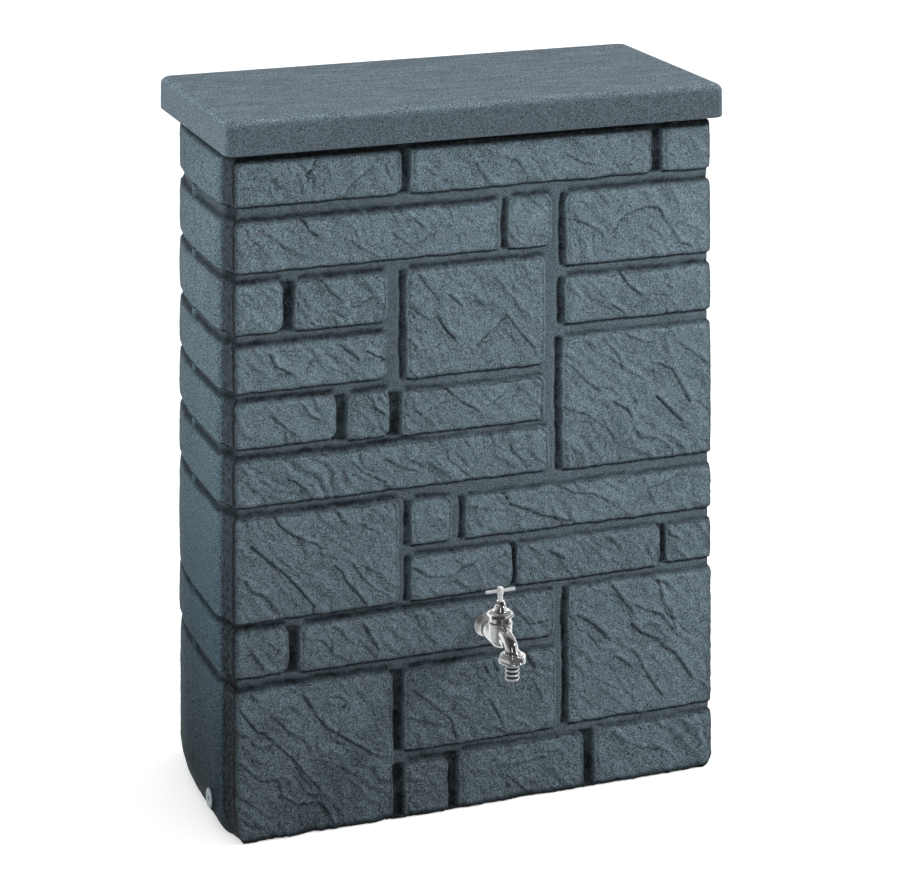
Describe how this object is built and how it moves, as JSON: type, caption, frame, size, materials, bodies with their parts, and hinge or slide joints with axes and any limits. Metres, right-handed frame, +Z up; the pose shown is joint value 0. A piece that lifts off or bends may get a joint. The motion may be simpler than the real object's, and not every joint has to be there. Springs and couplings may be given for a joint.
{
  "type": "slim rainwater tank",
  "caption": "Slim free-standing rainwater tank with walls moulded as coursed stone, a loose slab lid, a screw-down garden tap with hose nozzle and a low side plug.",
  "frame": {"origin": "centre of the tank's footprint at ground level", "axes": "+Z up, -Y out of the front face that carries the tap, +Y out of the flat back, +X to the right seen from the front"},
  "size_m": [0.8056, 0.5082, 1.062],
  "materials": {
    "tank_plastic": "slate-blue plastic with fine dark and light granite speckle, moulded as rough split stone",
    "lid_plastic": "same speckled plastic, smoother slab surface",
    "chrome": "polished chrome plate",
    "brass": "plain machined brass",
    "seal_rubber": "black sealing rubber",
    "fibre": "dark grey vulcanised fibre",
    "plug_plastic": "pale grey moulded plastic"
  },
  "bodies": {
    "tank": {"tank_body": "tank_plastic", "tap_insert": "brass", "inlet_seal": "seal_rubber", "tap_rosette": "chrome", "tap_body": "chrome", "bonnet_gasket": "fibre", "bonnet": "chrome", "gland_packing": "seal_rubber", "gland_nut": "chrome", "coupling_nut": "chrome", "nozzle_gasket": "seal_rubber", "hose_nozzle": "chrome", "side_insert": "brass", "side_plug_seal": "seal_rubber", "side_plug": "plug_plastic"},
    "lid": {"lid": "lid_plastic"},
    "valve": {"jumper_valve": "brass", "valve_washer": "seal_rubber", "washer_nut": "brass"},
    "handle": {"spindle": "chrome", "handle_bar": "chrome"}
  },
  "joints": [
    {"name": "lid_lift", "type": "slide", "parent": "tank", "child": "lid", "axis": [0, 0, 1], "range_m": [0, 0.15]},
    {"name": "valve_lift", "type": "slide", "parent": "tank", "child": "valve", "axis": [0, 0, 1], "range_m": [0, 0.0045]},
    {"name": "handle_turn", "type": "hinge", "parent": "valve", "child": "handle", "pos_m": [0.006, -0.245, 0.3], "axis": [0, 0, 1], "range_deg": [0, 810]}
  ],
  "couplings": [
    {"joint": "handle_turn", "follows": "valve_lift", "rad_per_m": 3141.6}
  ]
}
